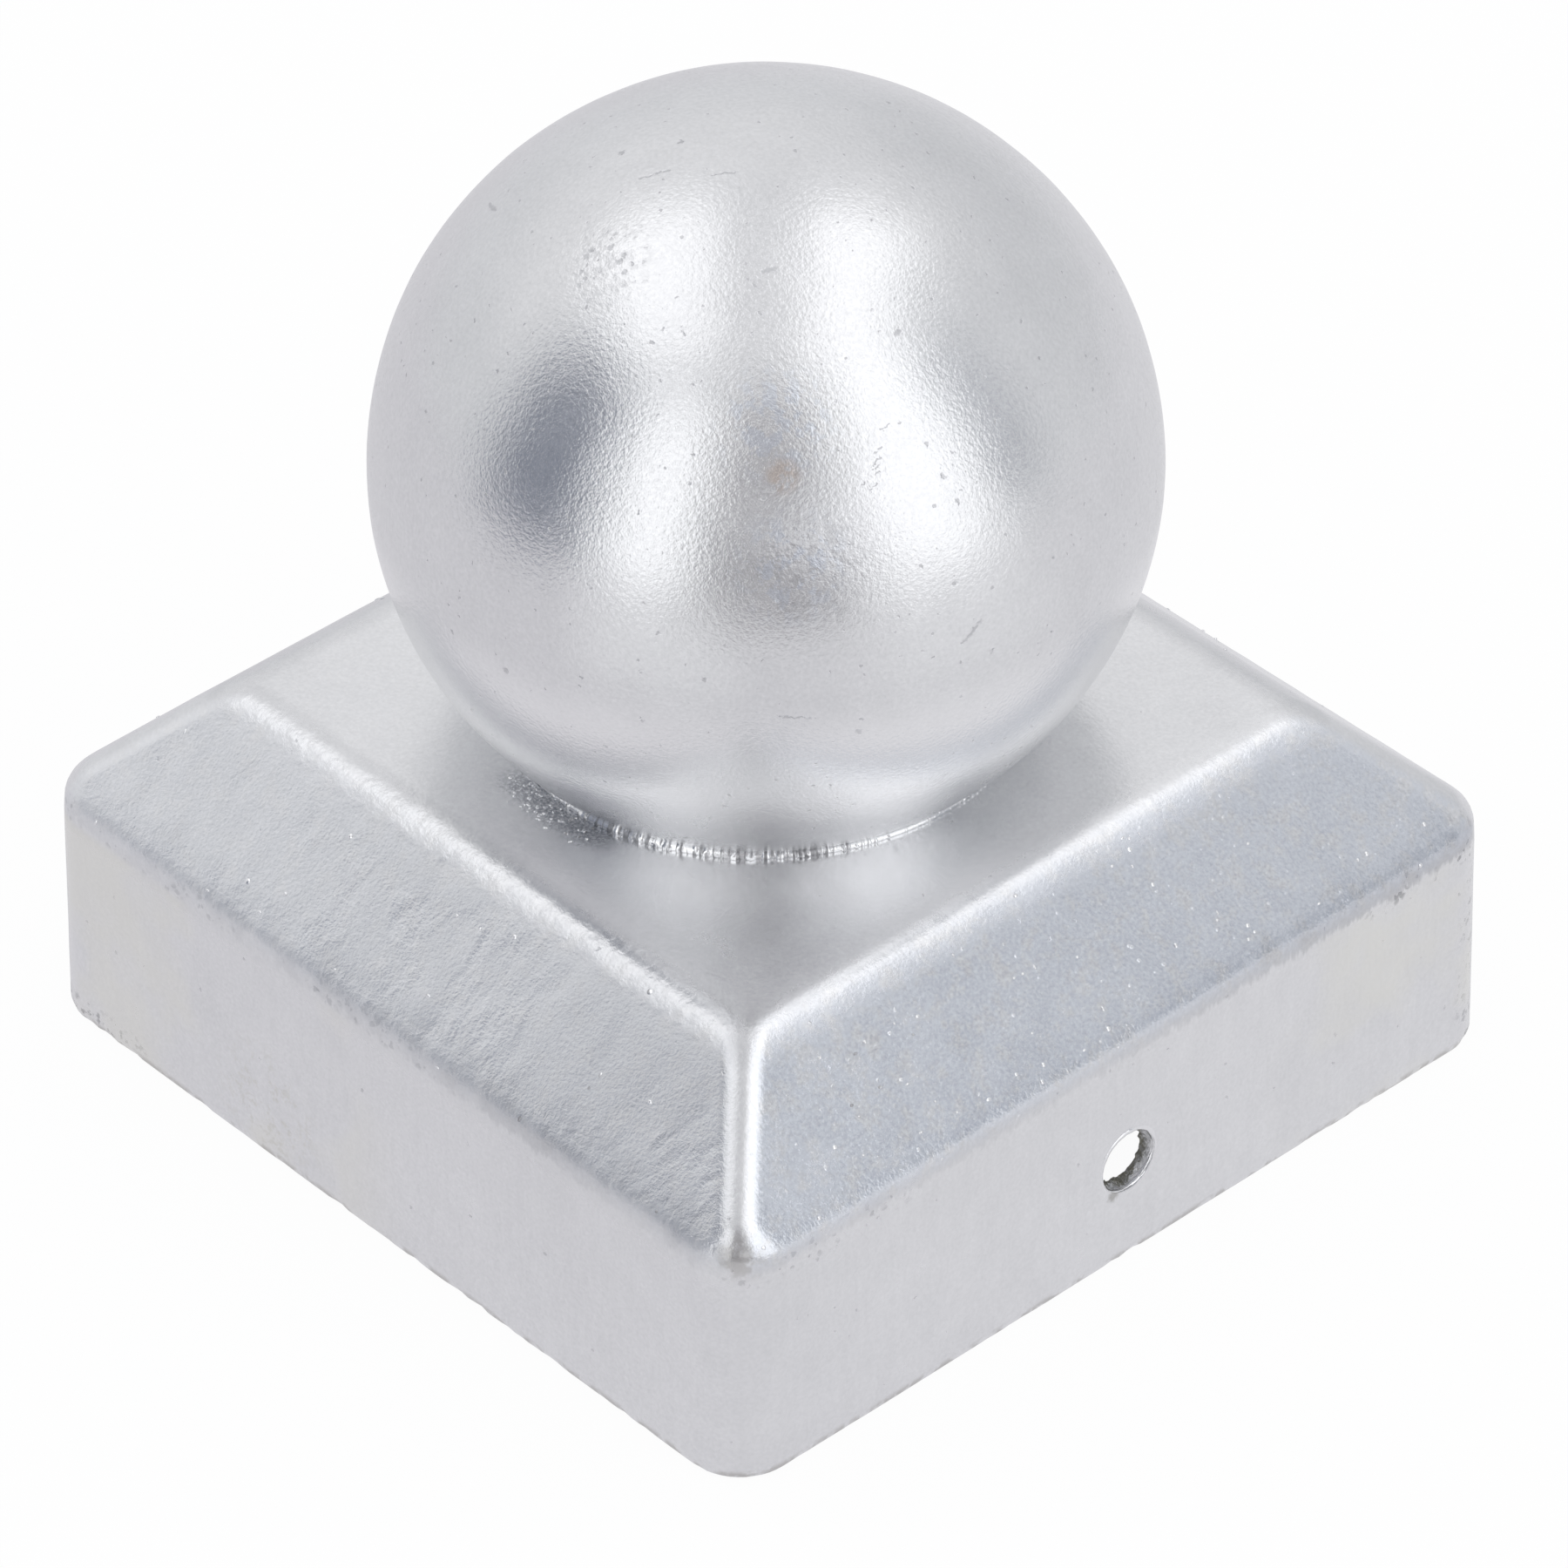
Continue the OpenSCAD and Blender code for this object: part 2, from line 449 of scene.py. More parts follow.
def close_zinc(tone, roughness, height, stains):
    """Plugs tone from 0 dark to 1 pale, roughness and height in millimetres into the metal shader."""
    colour = mixed(tone, ZINC_DARK, ZINC_PALE)
    for mask, stain in stains:
        colour = mixed(mask, colour, stain)
    bump = Wire.node(tone.tree, "ShaderNodeBump", {"Strength": 1.0, "Distance": MM, "Height": height})
    sockets = {"Base Color": colour, "Metallic": 1.0, "Roughness": roughness, "Normal": bump}
    metal = Wire.node(tone.tree, "ShaderNodeBsdfPrincipled", sockets)
    close_tree("ShaderNodeOutputMaterial", "Surface", metal)


def pinholes(place, gap, radius, share):
    """Mask of small round holes about gap millimetres apart, of which only a share is kept."""
    cells = Wire.node(place.tree, "ShaderNodeTexVoronoi", {"Vector": place, "Scale": 1 / gap})
    chance, spread, _ = cells.other("Color").parts()
    reach = (spread + 0.5) * (radius / gap)
    return chance.math("LESS_THAN", share) * (cells / reach).ramp(1.0, 0.5)


def near_spot(place, spot, reach):
    """Mask that is 1 at a spot in millimetres and falls to 0 at its reach."""
    return place.vector("DISTANCE", tuple(spot)).ramp(reach, FULL_SHARE * reach)


def scratch(place, start, end, width):
    """Mask of a straight scratch between two places in millimetres."""
    along = Vector(end) - Vector(start)
    from_start = place.vector("SUBTRACT", tuple(start))
    share = from_start.vector("DOT_PRODUCT", tuple(along / along.length_squared))
    sockets = {0: tuple(along), "Scale": share.largest(0.0).smallest(1.0)}
    nearest = Wire.node(place.tree, "ShaderNodeVectorMath", sockets, operation="SCALE")
    return from_start.vector("DISTANCE", nearest).ramp(width, FULL_SHARE * width)


def uneven(place, amount):
    """The place moved about by noise, so that a mark drawn there gets an uneven outline."""
    shift = place.noise(*UNEVEN).other("Color").vector("SUBTRACT", (0.5, 0.5, 0.5))
    return place.vector("ADD", shift.vector("SCALE", amount))


def zinc_skin(place, tone, peel_height, roughness, speckle):
    """Tone, roughness and height of the plain zinc."""
    cloud = place.wobble(*CLOUDS)
    patchy = place.wobble(*PATCHES)
    grain = place.wobble(*GRAIN)
    tone += cloud * 0.2 + patchy * 0.16 + place.wobble(*SPECKS) * speckle
    rough = roughness + cloud * 0.1 + patchy * 0.1 + grain * 0.04
    height = place.wobble(*PEEL) * peel_height + grain * (0.12 * peel_height)
    return tone, rough, height


print("zinc from", ZINC_DARK[:3], "to", ZINC_PALE[:3])

# %% [markdown]
# The ball drained well, so its zinc is shinier than the cap's, with a clear fine peel and pinholes, and
# painted light brightens its lower half and foot. Handling left its marks: a patch of pits high on the
# left, some scratches and smears, and in front a blotch, a small brown stain and bluish tints. Their places
# are given as degrees right of the camera and up from the ball's centre.

# %% Marks and zones of the ball
# Each scratch: where it starts and ends, and its half width in millimetres
BALL_SCRATCHES = [
    ((-67, 70.8), (-61, 74.9), 0.16),
    ((-36.9, 77.9), (-23.6, 79.8), 0.12),
    ((-0.4, 63.1), (3.1, 63.4), 0.26),
    ((28.2, 34.9), (28.4, 34.5), 0.14),
    ((29.6, 30.0), (29.8, 29.7), 0.16),
    ((30.9, 26.1), (31.1, 25.7), 0.18),
    ((23.1, 18.8), (23.3, 18.4), 0.14),
    ((-96, 47.0), (-92, 48.5), 0.25),
    ((-19.6, 53.6), (-18.6, 52.4), 0.12),
    ((20.8, 38.5), (22.4, 38.9), 0.09),
    ((18.9, 35.5), (20.7, 36.2), 0.09),
    ((18.2, 34.0), (19.6, 34.7), 0.09),
    ((18.0, 33.2), (19.4, 33.9), 0.08),
    ((18.4, 32.5), (19.4, 33.0), 0.08),
    ((17.0, 30.8), (18.6, 31.4), 0.09),
    ((31.8, 7.5), (28.6, 5.0), 0.2),
    ((1.9, -2.3), (6.8, -2.9), 0.12),
]
# Each patch: its place, and its reach in millimetres
PIT_PATCH = (-46, 59, 4.4)
FRONT_PATCH = (7, 20.5, 5.5)
BROWN_SPOT = (2.8, 33.8, 1.6)
BLUE_HIGH = (2, 41, 5)
BLUE_LOW = (4, 21, 5)
BROWN = (0.68, 0.575, 0.49, 1)
# Heights in millimetres where runs set in, where painted light makes the foot pale, where the foot is
# rougher, and where painted light brightens the lower half
RUNS_FROM = (56, 40)
FOOT_PAINTED_LIGHT = (39, 30)
ROUGH_FOOT = (44, 36)
LOWER_HALF_PAINTED_LIGHT = (32, 39, 44, 49.5)
# Factor on the height that draws noise out into upright runs
BALL_RUN = 0.15
print("scratches on the ball:", len(BALL_SCRATCHES))


# %% Zinc on the ball
def on_ball(right, up):
    """Place on the ball in millimetres."""
    towards = direction(CAMERA_AZIMUTH + radians(right), radians(up))
    return (Vector((0, 0, BALL_Z)) + BALL_R * towards) / MM


def ball_patch(right, up, reach):
    """Mask of a round patch on the ball."""
    return near_spot(ball_place, on_ball(right, up), reach)


ball_zinc, ball_place = open_zinc("ball_zinc")
ball_x, ball_y, ball_z = ball_place.parts()
ball_skin = zinc_skin(ball_place, tone=0.72, peel_height=0.037, roughness=0.21, speckle=0.42)
ball_tone, ball_rough, ball_height = ball_skin
ball_runs = joined(ball_x, ball_y, ball_z * BALL_RUN).wobble(0.7, 3, 0.6)
# Runs in the zinc, and painted light that makes the foot pale
ball_tone += ball_runs * ball_z.ramp(*RUNS_FROM) * 0.16 + ball_z.ramp(*FOOT_PAINTED_LIGHT) * 0.2
ragged_ball = uneven(ball_place, 0.5)
fine_pins = pinholes(ragged_ball, gap=0.95, radius=0.12, share=0.5) * 0.55
big_pins = pinholes(ragged_ball, gap=3.4, radius=0.24, share=0.26) * 0.65
pit_patch = ball_patch(*PIT_PATCH)
pits = pit_patch * pinholes(ragged_ball, gap=0.7, radius=0.26, share=0.75) * 0.5
blotch = ball_patch(*FRONT_PATCH).largest(pit_patch) * ball_place.noise(1.3, 3, 0.65).ramp(0.46, 0.62)
worn = fine_pins.largest(big_pins).largest(pits)
for scratch_start, scratch_end, scratch_width in BALL_SCRATCHES:
    one = scratch(ragged_ball, on_ball(*scratch_start), on_ball(*scratch_end), scratch_width)
    worn = worn.largest(one * 0.55)
brown = ball_patch(*BROWN_SPOT) * ball_place.noise(1.2, 3).ramp(0.35, 0.55) * 0.6
bluish = ball_patch(*BLUE_HIGH).largest(ball_patch(*BLUE_LOW))
bluish *= ball_place.noise(0.9, 3, 0.6).ramp(0.46, 0.6)
ball_tone -= worn * 0.75 + blotch * 0.22
ball_rough += ball_z.ramp(*ROUGH_FOOT) * 0.05 + worn * 0.25
ball_height -= worn * 0.03 + blotch * 0.008
# The first stain is painted light on the lower half of the ball
ball_stains = [
    (ball_z.window(*LOWER_HALF_PAINTED_LIGHT) * 0.48, PAINTED_LIGHT_ZINC),
    (bluish * 0.5, BLUE_ZINC),
    (brown, BROWN),
]
close_zinc(ball_tone, ball_rough, ball_height, ball_stains)
print("ball zinc nodes:", len(ball_zinc.node_tree.nodes))

# %% [markdown]
# On the cap the zinc differs from face to face. The band on the left, which hung lowest in the bath, is
# wrinkled like leather where the zinc ran down, most in its middle and at its front end. The one on the
# right is grainy, with bluish clouds and raised grains with painted glints, and the skirt is plain with a
# faint upright grain.

# %% Zones of the cap
# Heights in millimetres of a zone: where it begins, is full from, is full to, and ends
ON_BAND = (17.6, 19.4, 27.8, 28.8)
LEFT_BEND = (17.7, 18.4, 19.0, 21.8)
RIGHT_BEND = (17.5, 18.2, 18.8, 20.8)
BEND_LINE = (16.6, 17.6, 18.8, 20.4)
PIT_BEND = (16.4, 17.4, 18.6, 19.4)
LEFT_FRINGE = (17.5, 18.1, 19.2, 19.8)
ON_PANEL = (28.0, 28.5)
ON_SKIRT = (18.2, 17.2)
# The same along X for the wrinkled middle of the left band, and distances past a hip where a face sets in
WRINKLED_MIDDLE = (-20, -5, 6, 16)
FROM_HIP = (0.2, 1.8)
# Length of the sloped band for each millimetre of its height, and the factor of the skirt's upright grain
SLOPE_STRETCH = 1.41
SKIRT_RUN = 0.12


def down_the_band(height):
    """Distance down the sloped band in millimetres, from the height in millimetres."""
    return (PANEL_Z / MM - height) * SLOPE_STRETCH


def drift(place):
    """Sideways drift of the zinc that ran down the band, in millimetres."""
    return place.wobble(0.2, 2) * 2


print("sloped bands from", ON_BAND[0], "to", ON_BAND[-1], "mm")

# %% Zinc on the cap
cap_zinc, cap_place = open_zinc("cap_zinc")
cap_nodes = cap_zinc.node_tree.nodes
cap_x, cap_y, cap_z = cap_place.parts()
cap_skin = zinc_skin(cap_place, tone=0.81, peel_height=0.016, roughness=0.24, speckle=0.3)
cap_tone, cap_rough, cap_height = cap_skin
on_band = cap_z.window(*ON_BAND)
towards_left = -cap_y - cap_x.size()
left_face = towards_left.ramp(*FROM_HIP)
right_face = (cap_x - cap_y.size()).ramp(*FROM_HIP)
on_left_band = on_band * left_face
on_right_band = on_band * right_face
down_band = down_the_band(cap_z)

run_skew = cap_x.ramp(0, 30, -0.05, 0.4)
run_place = joined(cap_x + down_band * run_skew + drift(cap_place), down_band * 0.5, 0.0)
wrinkled = cap_x.window(*WRINKLED_MIDDLE) + (cap_x + down_band).ramp(27, 38)
wrinkled *= down_band.ramp(1.5, 5, 0.35, 1.0)
wrinkled *= cap_place.noise(0.25, 2).ramp(0.43, 0.60, 0.06, 1.0)
leather = cap_place.wobble(4.2, 3, 0.64)
wrinkle = run_place.wobble(0.62, 2, 0.45) * (wrinkled * 0.12 + 0.007)
wrinkle += leather * (wrinkled * 0.03 + 0.0105)
grainy = cap_place.wobble(3.6, 3, 0.65)
# Raised grains on the right band, with painted glints, most at the near end
grains_and_glints = on_right_band * pinholes(uneven(cap_place, 0.3), gap=0.8, radius=0.13, share=0.3)
grains_and_glints *= cap_y.ramp(30, -30, 0.3, 1.0)
cap_height += on_left_band * wrinkle + on_right_band * grainy * 0.016 + grains_and_glints * 0.03
cap_rough += on_right_band * grainy * 0.15
on_panel = cap_z.ramp(*ON_PANEL)
cap_tone += grainy * (on_right_band * 0.7 + on_panel * 0.3)
blue_cloud = (on_right_band + on_left_band * 0.25) * cap_place.noise(0.6, 3, 0.65).ramp(0.30, 0.56)

upright = joined(cap_x, cap_y, cap_z * SKIRT_RUN)
on_skirt = cap_z.ramp(*ON_SKIRT)
cap_tone += on_skirt * (upright.wobble(1.3, 3, 0.6) * 0.12 + left_face * grainy * 0.25)
ragged_cap = uneven(cap_place, 0.5)
cap_pins = pinholes(ragged_cap, gap=1.6, radius=0.15, share=0.16) * 0.5
print("cap zinc nodes:", len(cap_nodes))

# %% [markdown]
# Where the bands meet the skirt, the bend is rough and gets painted shade with a ragged edge, more so
# towards the front on the left and towards the far end on the right. On the panel a painted highlight
# brightens the zinc round the front of the ball's foot, a little less straight ahead. The panel's edges
# have a rougher skin and painted shade, apart from the right one, which gets a painted highlight, and the
# front hip has painted shade along its line and on its left, and a painted highlight on its right.

# %% Bends and edges of the cap
# Direction of the camera, as an angle from +X
FRONT_TURN = CAMERA_AZIMUTH - pi / 2
ragged_z = cap_z + cap_place.wobble(0.9, 3, 0.6) * 1.6 + upright.wobble(2.6, 3, 0.6) * 1.8
# The bends get painted shade with a ragged edge, more towards the front on the left and the far end on the
# right
left_bend = left_face * ragged_z.window(*LEFT_BEND)
right_bend = right_face * ragged_z.window(*RIGHT_BEND)
left_shade = left_bend * cap_x.ramp(-34, 30, 0.08, 0.16) * cap_place.noise(0.4, 3).ramp(0.38, 0.62, 0.4, 1.5)
bend_shade = left_shade + right_bend * cap_y.ramp(-10, 34, 0.14, 0.45)
from_axis = joined(cap_x, cap_y, 0.0).vector("LENGTH")
cap_turn = cap_y.math("ARCTAN2", cap_x)
aside = cap_turn - FRONT_TURN
# Painted highlight on the panel round the front of the ball's foot, centred on the camera's direction
ball_foot_highlight = on_panel * from_axis.ramp(31, 21) * aside.within(46, 32)
ball_foot_highlight *= aside.size().ramp(radians(2), radians(9), 0.7, 1.0)
on_edge = cap_z.ramp(26.9, 27.8) * cap_x.size().largest(cap_y.size()).ramp(24.8, 26.0)
# Painted shade on the panel's edges and over the right band, and a painted highlight on the right edge
cap_tone -= bend_shade + on_edge * (0.15 - right_face * 0.25) + on_right_band * 0.08
# The left band is darker towards its front end and lighter towards its back end
cap_tone -= on_left_band * cap_x.ramp(-36, 36, -0.10, 0.12)
# Painted shade along the front hip's line and on its left, and a painted highlight on its right
front_hip = on_band * towards_left.size().ramp(2.6, 1.4) * cap_x.ramp(0, 10)
hip_shade = towards_left.ramp(-1.2, 1.2, -0.12, 0.2) + towards_left.size().ramp(1.0, 0.2) * 0.2
cap_tone -= front_hip * hip_shade
bend_line = left_face * cap_z.window(*BEND_LINE)
cap_rough += on_edge * 0.04 + left_bend * 0.04 + bend_line * 0.16
rough_bend = left_bend * 0.05 + right_bend * 0.03 + bend_shade * 0.1
cap_height += rough_bend * cap_place.wobble(1.2, 3, 0.7)
cap_height += on_edge * cap_place.wobble(0.9, 3) * (left_face * 0.05 + 0.03)
print("cap zinc nodes with bends:", len(cap_nodes))

# %% [markdown]
# Wear and dirt finish the cap: rows of pits where acid sat in the bends and at the rim, torn and dirty
# walls in the screw holes, with a shallow dish that the punch left round them and a smudge below, a brown
# smudge at the foot of the front hip, dirt low on the left of the skirt, burnt flux at the left end of the
# weld and faint warm stains on the skirt from storage. Patchy painted shade runs along the bottom of the
# rim.

# %% Pits of the cap
pit_rows = cap_y.ramp(20, 26).largest(cap_y.ramp(-18, -24) * 0.5)
pit_rows = cap_x.ramp(34, 35.5) * cap_z.window(*PIT_BEND) * pit_rows
left_rim = cap_z.ramp(2.6, 1.2) * cap_x.ramp(-22, -29) * cap_y.ramp(-28, -34)
far_edge = cap_z.ramp(19.0, 17.5) * (cap_x + cap_y).ramp(69.5, 71) * (cap_x - cap_y).ramp(0, 2) * 0.6
left_fringe = left_face * cap_z.window(*LEFT_FRINGE) * cap_x.ramp(14, 0) * 0.4
pit_rows = pit_rows.largest(left_rim).largest(far_edge).largest(left_fringe)
row_pits = pit_rows * pinholes(ragged_cap, gap=0.55, radius=0.27, share=0.55)
cap_pins = cap_pins.largest(row_pits * cap_place.noise(0.5, 2).ramp(0.4, 0.55))
print("cap zinc nodes with pits:", len(cap_nodes))

# %% Holes and stains of the cap
# Each spot: its place and its reach in millimetres
SMUDGE = ((36.0, -35.6, 19.4), 2.6)
SKIRT_DIRT = ((-11.9, -37.0, 4.4), 7)
HOLE_SMUDGE = ((37.1, -1.5, 6.2), 0.7)
DIRT = (0.60, 0.59, 0.52, 1)
# Brown of the smudge, also used for the painted shade along the rim
SMUDGE_AND_SHADE_BROWN = (0.40, 0.385, 0.36, 1)
WARM_STAIN = (0.80, 0.795, 0.73, 1)
FLUX_GREY = (0.34, 0.355, 0.385, 1)
HOLE_DIRT = (0.21, 0.205, 0.165, 1)
# Direction of the burnt flux from the ball's axis, in degrees from +X
FLUX_TURN = -91
past_hole = joined(cap_y, cap_z - HOLE_Z / MM, 0.0).vector("LENGTH") - HOLE_R / MM
near_side = cap_x.size().ramp(33, 34)
in_hole = near_side * past_hole.ramp(0.25, 0.12)
dish = near_side * past_hole.ramp(1.5, 0.2)
hole_depth = cap_x.size() + leather * 1.6 + cap_place.wobble(0.9, 2) * 1.6
rough_wall = in_hole * (cap_place.noise(3.0, 3, 0.7).ramp(0.4, 0.6) * 0.75 + 0.05)
rough_wall *= hole_depth.ramp(36.9, 36.2, 0.35, 1.0)
hole_dirt = in_hole * hole_depth.ramp(36.6, 36.1) * cap_place.noise(2.4, 3, 0.7).ramp(0.3, 0.55, 0.5, 0.95)
hole_dirt = hole_dirt.largest(near_spot(ragged_cap, *HOLE_SMUDGE) * 0.5)
smudge = near_spot(cap_place, *SMUDGE) * cap_place.noise(0.8, 3, 0.6).ramp(0.4, 0.6) * 0.5
stained = left_face * cap_x.ramp(4, -8) + right_face * cap_y.ramp(12, 24)
stain = on_skirt * stained * cap_place.noise(0.09, 3).ramp(0.46, 0.64) * 0.5
# Patchy painted shade along the bottom of the rim, where it meets the floor
rim_contact_shade = cap_z.ramp(0.9, 0.3) * cap_place.noise(0.6, 3, 0.6).ramp(0.44, 0.6) * 0.6
dirt = near_spot(cap_place, *SKIRT_DIRT) * cap_place.noise(1.2, 3, 0.7).ramp(0.5, 0.62) * 0.35
flux_patch = (cap_turn - radians(FLUX_TURN)).within(19, 10)
flux_patch *= (from_axis + leather * 3).ramp(22.0, 20.2) * on_panel
flux = flux_patch * cap_place.noise(4.5, 3, 0.7).ramp(0.34, 0.6) * 0.85
cap_stains = [
    (ball_foot_highlight * (1 - flux_patch) * 0.75, PAINTED_LIGHT_ZINC),
    (blue_cloud * 0.42, BLUE_ZINC),
    (grains_and_glints * 0.6, PAINTED_LIGHT_ZINC),
    (stain, WARM_STAIN),
    (dirt, DIRT),
    (hole_dirt, HOLE_DIRT),
    (smudge, SMUDGE_AND_SHADE_BROWN),
    (rim_contact_shade, SMUDGE_AND_SHADE_BROWN),
    (flux, FLUX_GREY),
]
cap_tone -= cap_pins * 0.7 + rough_wall
cap_rough += cap_pins * 0.2 + in_hole * 0.2
cap_height += rough_wall * 0.06 - cap_pins * 0.03 - dish * 0.10 - flux * 0.012
close_zinc(cap_tone, cap_rough, cap_height, cap_stains)
print("cap zinc nodes with holes and stains:", len(cap_nodes))

# %% [markdown]
# Zinc on the weld and the pimples is the brightest. Where the welder went slowly, painted shade darkens
# the gaps between the lumps, which are also rougher. Its gaps come from noise along the weld, as the length
# of arc round the ball's foot.

# %% Zinc on the welds
# Direction of the middle of the gaps, in degrees from +X
GAPS_TURN = -57
GAP_SHADE_DARK = (0.13, 0.13, 0.14, 1)
weld_zinc, weld_place = open_zinc("weld_zinc")
weld_skin = zinc_skin(weld_place, tone=0.88, peel_height=0.02, roughness=0.14, speckle=0.1)
weld_tone, weld_rough, weld_height = weld_skin
weld_x, weld_y, weld_z = weld_place.parts()
weld_turn = weld_y.math("ARCTAN2", weld_x)
weld_arc = joined(weld_turn * (FOOT_R / MM), weld_z * 0.2, 0.0)
# Painted shade in the gaps between the weld's lumps
weld_gap_shade = (weld_turn - radians(GAPS_TURN)).within(46, 20) * weld_arc.noise(3.2, 2, 0.6).ramp(0.50, 0.60)
close_zinc(weld_tone, weld_rough + weld_gap_shade * 0.2, weld_height, [(weld_gap_shade * 0.65, GAP_SHADE_DARK)])
print("weld zinc nodes:", len(weld_zinc.node_tree.nodes))

# %% [markdown]
# ## Geometry trees
# A geometry tree is a recipe with named inputs. These helpers open a tree with an input for each value in a
# table, add what several trees need, close it, and run it on a carrier object, whose result is kept as a
# plain mesh.

# %% Opening, closing and running a tree
SHARP_ANGLE = radians(42)
SOCKET_KINDS = {int: "NodeSocketInt", float: "NodeSocketFloat", bpy.types.Material: "NodeSocketMaterial"}


def open_tree(name, values):
    """A new geometry tree with an input for each of the values, and the wires of its inputs."""
    tree = bpy.data.node_groups.new(name, "GeometryNodeTree")
    tree.interface.new_socket("Geometry", in_out="OUTPUT", socket_type="NodeSocketGeometry")
    tree.interface.new_socket("Geometry", in_out="INPUT", socket_type="NodeSocketGeometry")
    for label, value in values.items():
        tree.interface.new_socket(label, in_out="INPUT", socket_type=SOCKET_KINDS[type(value)])
    source = tree.nodes.new("NodeGroupInput")
    return tree, {socket.name: Wire(socket) for socket in source.outputs if socket.name}


def finish_tree(geometry, given):
    """Ends a tree with real geometry and its material, and returns it."""
    real = Wire.node(geometry.tree, "GeometryNodeRealizeInstances", {"Geometry": geometry})
    sockets = {"Geometry": real, "Material": given["Zinc"]}
    close_tree("NodeGroupOutput", "Geometry", Wire.node(real.tree, "GeometryNodeSetMaterial", sockets))
    print("tree", geometry.tree.name, "with", len(geometry.tree.nodes), "nodes")
    return geometry.tree


def run_tree(name, tree, source, values):
    """Runs a tree on a curve or mesh and returns a new object that holds the result as a plain mesh."""
    carrier = add_object("carrier", source)
    modifier = carrier.modifiers.new("tree", "NODES")
    modifier.node_group = tree
    for item in tree.interface.items_tree:
        if item.in_out == "INPUT" and item.name in values:
            modifier[item.identifier] = values[item.name]
    ready = bpy.context.evaluated_depsgraph_get()
    mesh = bpy.data.meshes.new_from_object(carrier.evaluated_get(ready), depsgraph=ready)
    bpy.data.objects.remove(carrier)
    mesh.name = name
    mesh.shade_smooth()
    mesh.set_sharp_from_angle(angle=SHARP_ANGLE)
    mesh.calc_loop_triangles()
    print(name, "triangles", len(mesh.loop_triangles))
    return add_object(name, mesh)


def profile_curve(name, points, closed):
    """A poly curve. Each point is X, Y, Z and the radius of the bend there."""
    curve = bpy.data.curves.new(name, "CURVE")
    curve.dimensions = "3D"
    spline = curve.splines.new("POLY")
    spline.points.add(len(points) - 1)
    for point, (x, y, z, bend) in zip(spline.points, points):
        point.co = (x, y, z, 1)
        point.radius = bend
    spline.use_cyclic_u = closed
    return curve


print("geometry trees can be opened, closed and run")

# %% Steps that several trees share
MERGE_GAP = 0.002 * MM
LUMP_SEGMENTS = 8
LUMP_RINGS = 5


def grid_of(tree, across, up):
    """A grid of so many points, with the wires of its places across and up, from 0 to 1."""
    grid = Wire.node(tree, "GeometryNodeMeshGrid", {"Vertices X": across, "Vertices Y": up})
    return grid, *grid.other("UV Map").parts()[:2]


def placed(geometry, position):
    """The geometry with its points at the given places, and points that met there merged."""
    sockets = {"Geometry": geometry, "Position": position}
    moved = Wire.node(geometry.tree, "GeometryNodeSetPosition", sockets)
    sockets = {"Geometry": moved, "Distance": MERGE_GAP}
    return Wire.node(geometry.tree, "GeometryNodeMergeByDistance", sockets)


def shifted(geometry, offset):
    """The geometry with its points moved by an offset."""
    sockets = {"Geometry": geometry, "Offset": offset}
    return Wire.node(geometry.tree, "GeometryNodeSetPosition", sockets)


def waved(geometry, outward, depth):
    """The geometry with each point moved inward along outward by its depth."""
    return shifted(geometry, outward.vector("SCALE", -depth))


def turned_aside(place, towards):
    """Angle from a direction to a place, both seen from above about the ball's axis."""
    x, y, _ = place.turned_back(towards).parts()
    return y.math("ARCTAN2", x)


def circle(steps, radius):
    """A round curve."""
    sockets = {"Resolution": steps, "Radius": radius}
    return Wire.node(radius.tree, "GeometryNodeCurvePrimitiveCircle", sockets)


def bead_along(path, steps, radius, swell):
    """A round bead along a path, its radius times swell."""
    sockets = {"Curve": path, "Profile Curve": circle(steps, radius), "Scale": swell}
    return Wire.node(path.tree, "GeometryNodeCurveToMesh", sockets)


def lump(radius):
    """One coarse ball."""
    sockets = {"Segments": LUMP_SEGMENTS, "Rings": LUMP_RINGS, "Radius": radius}
    return Wire.node(radius.tree, "GeometryNodeMeshUVSphere", sockets)


def random_size(least, most, seed):
    """A random size along each axis."""
    sockets = {"Min": least, "Max": most, "Seed": seed}
    return Wire.node(seed.tree, "FunctionNodeRandomValue", sockets, data_type="FLOAT_VECTOR")


print("lumps of", LUMP_SEGMENTS, "by", LUMP_RINGS, "faces")

# %% [markdown]
# ## The pressed cap
# A press bends the sheet along straight lines and draws its corners round. The same rule makes the mesh: a
# closed profile through the sheet, with sharp corners that a Fillet node bends, is swept round a square
# with rounded corners. Each profile point holds three lengths, the half width, the radius of the square's
# corner and the height, so one tree makes skirt, bend, sloped band, panel and rim in one sheet. Noise then
# lowers the zinc a little here and there, and a rough cylinder, rougher inside the sheet, cuts the two
# screw holes.

# %% Tree of the pressed cap
FILLET_STEPS = 12
DRILL_SIDES = 64
DRILL_RINGS = 400
DRILL_LENGTH = 2.4 * RIM_HALF
# Heights in millimetres of the runs on the left band and of the shoulder, as for the zinc
LEFT_RUNS = (18, 20, 27, 28.6)
ON_SHOULDER = (17.2, 18.4, 20.0, 21.4)
# Distances from the middle, in millimetres, between which a hole's wall gets more torn, and its depths there
TORN_WALL = (36.7, 35.9, 0.06, 0.36)
cap_values = {
    "Side steps": 92,
    "Corner steps": 12,
    "Ring gap": 0.65 * MM,
    "Wave depth": 0.09 * MM,
    "Ripple depth": 0.07 * MM,
    "Edge depth": 0.07 * MM,
    "Nick depth": 0.15 * MM,
    "Hole radius": HOLE_R + 0.12 * MM,
    "Hole height": HOLE_Z,
    "Zinc": cap_zinc,
}


